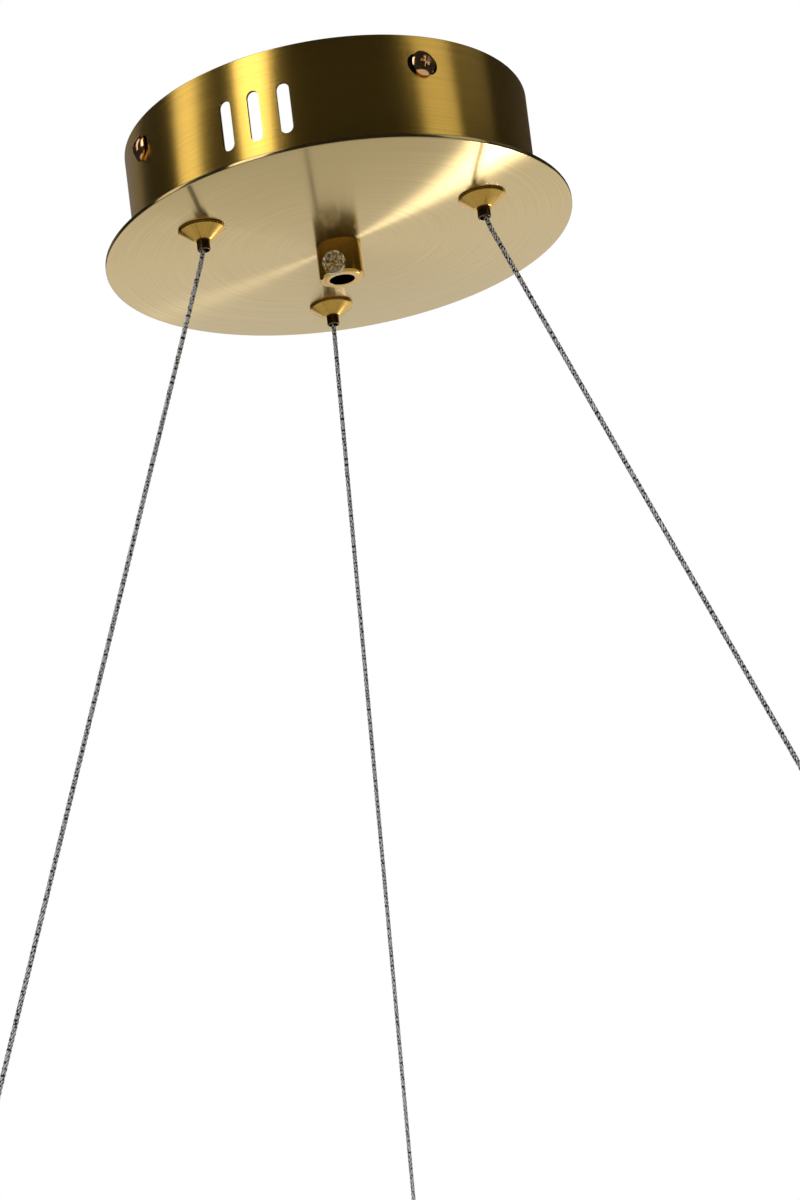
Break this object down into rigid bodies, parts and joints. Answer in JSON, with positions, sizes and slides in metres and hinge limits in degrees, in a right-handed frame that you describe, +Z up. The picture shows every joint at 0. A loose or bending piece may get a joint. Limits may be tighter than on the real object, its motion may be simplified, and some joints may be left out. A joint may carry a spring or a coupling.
{
  "type": "led ring chandelier",
  "caption": "Round brushed-brass canopy with sprung cable grippers and steel ropes that carry a flat LED ring with an inward opal diffuser.",
  "frame": {"origin": "middle of the ceiling plate, on its upper face, which lies on the ceiling", "axes": "+Z up to the ceiling, +Y from the canopy axis to the first cable gripper"},
  "size_m": [0.5999, 0.6, 0.6765],
  "materials": {
    "brushed_brass": "circumferentially brushed and lacquered brass, satin",
    "spun_brass": "spun and circularly brushed champagne brass, satin",
    "ring_brass": "aluminium section, brushed along the ring and lacquered in brass colour",
    "polished_brass": "polished and lacquered brass",
    "nickel_brass": "nickel-plated brass",
    "bronze_nozzle": "dark bronzed brass with a bright rim",
    "copper_screws": "copper-coloured plated screws, polished",
    "black_steel": "black-coated pressed steel",
    "zinc_steel": "zinc-plated steel",
    "spring_steel": "spring steel wire",
    "steel_rope": "stranded galvanised steel rope",
    "clear_plastic": "clear moulded plastic",
    "driver_plastic": "white moulded plastic",
    "circuit_board": "green coated glass-epoxy board",
    "component_plastic": "black moulded components",
    "terminal_plastic": "natural polyamide",
    "opal_acrylic": "opal acrylic, satin",
    "led_board": "white flexible circuit board",
    "led_phosphor": "phosphor-filled silicone",
    "aluminium_plate": "mill-finish aluminium",
    "lead_insulation": "silicone-insulated leads",
    "earth_insulation": "green and yellow insulated lead"
  },
  "bodies": {
    "canopy": {"canopy_disc": "spun_brass", "canopy_drum": "brushed_brass", "canopy_nuts": "zinc_steel", "canopy_washers": "zinc_steel", "ceiling_plate": "black_steel", "cord_grip": "polished_brass", "disc_nuts": "zinc_steel", "disc_studs": "zinc_steel", "driver_board": "circuit_board", "driver_case": "driver_plastic", "driver_components": "component_plastic", "driver_lid": "driver_plastic", "drum_tabs": "zinc_steel", "earth_lead": "earth_insulation", "earth_post": "zinc_steel", "gripper_barrel_1": "nickel_brass", "gripper_barrel_2": "nickel_brass", "gripper_barrel_3": "nickel_brass", "gripper_cone_1": "polished_brass", "gripper_cone_2": "polished_brass", "gripper_cone_3": "polished_brass", "gripper_spring_1": "spring_steel", "gripper_spring_2": "spring_steel", "gripper_spring_3": "spring_steel", "mains_leads": "lead_insulation", "output_connector": "terminal_plastic", "output_leads": "lead_insulation", "rope_tail_1": "steel_rope", "rope_tail_2": "steel_rope", "rope_tail_3": "steel_rope", "side_screws": "copper_screws", "suspension_rope_1": "steel_rope", "suspension_rope_2": "steel_rope", "suspension_rope_3": "steel_rope", "terminal_block": "terminal_plastic", "terminal_screws": "zinc_steel"},
    "plunger_1": {"gripper_plunger_1": "bronze_nozzle", "gripper_balls_1": "zinc_steel"},
    "plunger_2": {"gripper_plunger_2": "bronze_nozzle", "gripper_balls_2": "zinc_steel"},
    "plunger_3": {"gripper_plunger_3": "bronze_nozzle", "gripper_balls_3": "zinc_steel"},
    "ring": {"anchor_nuts": "zinc_steel", "joiner_screws": "zinc_steel", "led_diodes": "led_phosphor", "led_strip": "led_board", "ring_anchor_1": "polished_brass", "ring_anchor_2": "polished_brass", "ring_anchor_3": "polished_brass", "ring_channel": "ring_brass", "ring_diffuser": "opal_acrylic", "ring_inlet": "polished_brass", "ring_inlet_nut": "zinc_steel", "rope_end_1": "nickel_brass", "rope_end_2": "nickel_brass", "rope_end_3": "nickel_brass", "seam_joiner": "aluminium_plate"},
    "clamp_screw": {"cord_grip_screw": "clear_plastic"},
    "inlet_screw": {"ring_inlet_screw": "clear_plastic"}
  },
  "joints": [
    {"name": "plunger_1_press", "type": "slide", "parent": "canopy", "child": "plunger_1", "axis": [0, 0, 1], "range_m": [0, 0.0015], "stiffness_N_per_m": 800, "springref_m": -0.002, "deforming": ["gripper_spring_1"]},
    {"name": "plunger_2_press", "type": "slide", "parent": "canopy", "child": "plunger_2", "axis": [0, 0, 1], "range_m": [0, 0.0015], "stiffness_N_per_m": 800, "springref_m": -0.002, "deforming": ["gripper_spring_2"]},
    {"name": "plunger_3_press", "type": "slide", "parent": "canopy", "child": "plunger_3", "axis": [0, 0, 1], "range_m": [0, 0.0015], "stiffness_N_per_m": 800, "springref_m": -0.002, "deforming": ["gripper_spring_3"]},
    {"name": "ring_height", "type": "slide", "parent": "canopy", "child": "ring", "axis": [0, 0, 1], "range_m": [0, 0.2], "deforming": ["suspension_rope_1", "suspension_rope_2", "suspension_rope_3"]},
    {"name": "clamp_screw_turn", "type": "hinge", "parent": "canopy", "child": "clamp_screw", "pos_m": [0, 0, -0.0504], "axis": [-0.3156, -0.9489, 0], "range_deg": [0, 720]},
    {"name": "inlet_screw_turn", "type": "hinge", "parent": "ring", "child": "inlet_screw", "pos_m": [-0.05088, 0.28855, -0.632], "axis": [0.1736, -0.9848, 0], "range_deg": [0, 720]}
  ]
}
